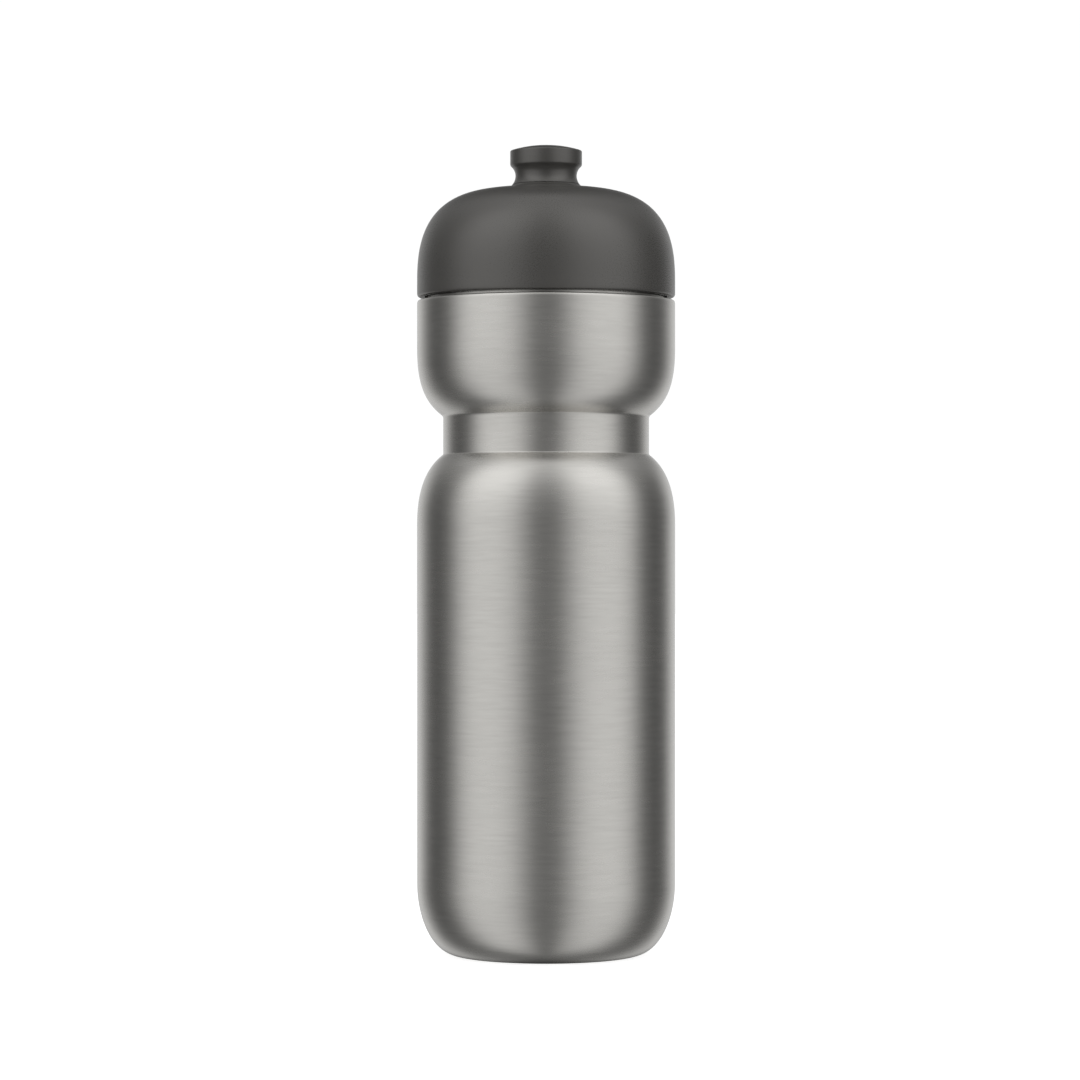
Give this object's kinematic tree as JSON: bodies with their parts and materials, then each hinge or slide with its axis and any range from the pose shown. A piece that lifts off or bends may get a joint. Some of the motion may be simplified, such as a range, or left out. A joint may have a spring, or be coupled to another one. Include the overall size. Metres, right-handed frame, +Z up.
{
  "type": "insulated bicycle water bottle",
  "caption": "Upright steel drinking bottle with a waist groove, a rounded screw-on plastic lid and a push-pull drinking spout.",
  "frame": {"origin": "centre of the foot's rest ring, on the bottle's axis", "axes": "+Z up along the bottle's axis; -Y is the side that faces the viewer; the air tube stands on the +X side"},
  "size_m": [0.074, 0.074, 0.232],
  "materials": {
    "body_steel": "satin, fine brush lines round the body",
    "base_steel": "satin stamped",
    "cover_steel": "satin, circular brush lines",
    "clip_steel": "plain rolled",
    "flask_steel": "satin",
    "foil": "bright foil",
    "glass_bead": "fused glass",
    "getter_pellet": "sintered, dull",
    "lid_plastic": "fine matte",
    "liner_plastic": "semi-matte",
    "stem_plastic": "smooth",
    "clear_silicone": "frosted silicone",
    "tube_silicone": "frosted silicone",
    "black_rubber": "smooth",
    "soft_rubber": "soft-touch matte"
  },
  "bodies": {
    "bottle": {"outer_shell": "body_steel", "outer_base": "base_steel", "base_cover": "cover_steel", "pump_out_plug": "glass_bead", "getter": "getter_pellet", "getter_clip": "clip_steel", "heat_foil": "foil", "inner_flask": "flask_steel", "inner_base": "flask_steel"},
    "lid_lifter": {"lid_seal": "clear_silicone"},
    "lid": {"lid_dome": "lid_plastic", "lid_liner": "liner_plastic", "valve_stem": "stem_plastic", "stem_gasket": "clear_silicone", "stem_o_ring": "black_rubber", "vent_valve": "clear_silicone", "vent_tube": "tube_silicone"},
    "spout": {"spout_core": "stem_plastic", "mouthpiece": "soft_rubber"}
  },
  "joints": [
    {"name": "lid_lift", "type": "slide", "parent": "bottle", "child": "lid_lifter", "axis": [0, 0, 1], "range_m": [0, 0.012]},
    {"name": "lid_turn", "type": "hinge", "parent": "lid_lifter", "child": "lid", "pos_m": [0, 0, 0.195], "axis": [0, 0, 1], "range_deg": [0, 540]},
    {"name": "spout_slide", "type": "slide", "parent": "lid", "child": "spout", "axis": [0, 0, 1], "range_m": [0, 0.0055]}
  ],
  "couplings": [
    {"joint": "lid_lift", "follows": "lid_turn", "m_per_rad": 0.0012732}
  ]
}
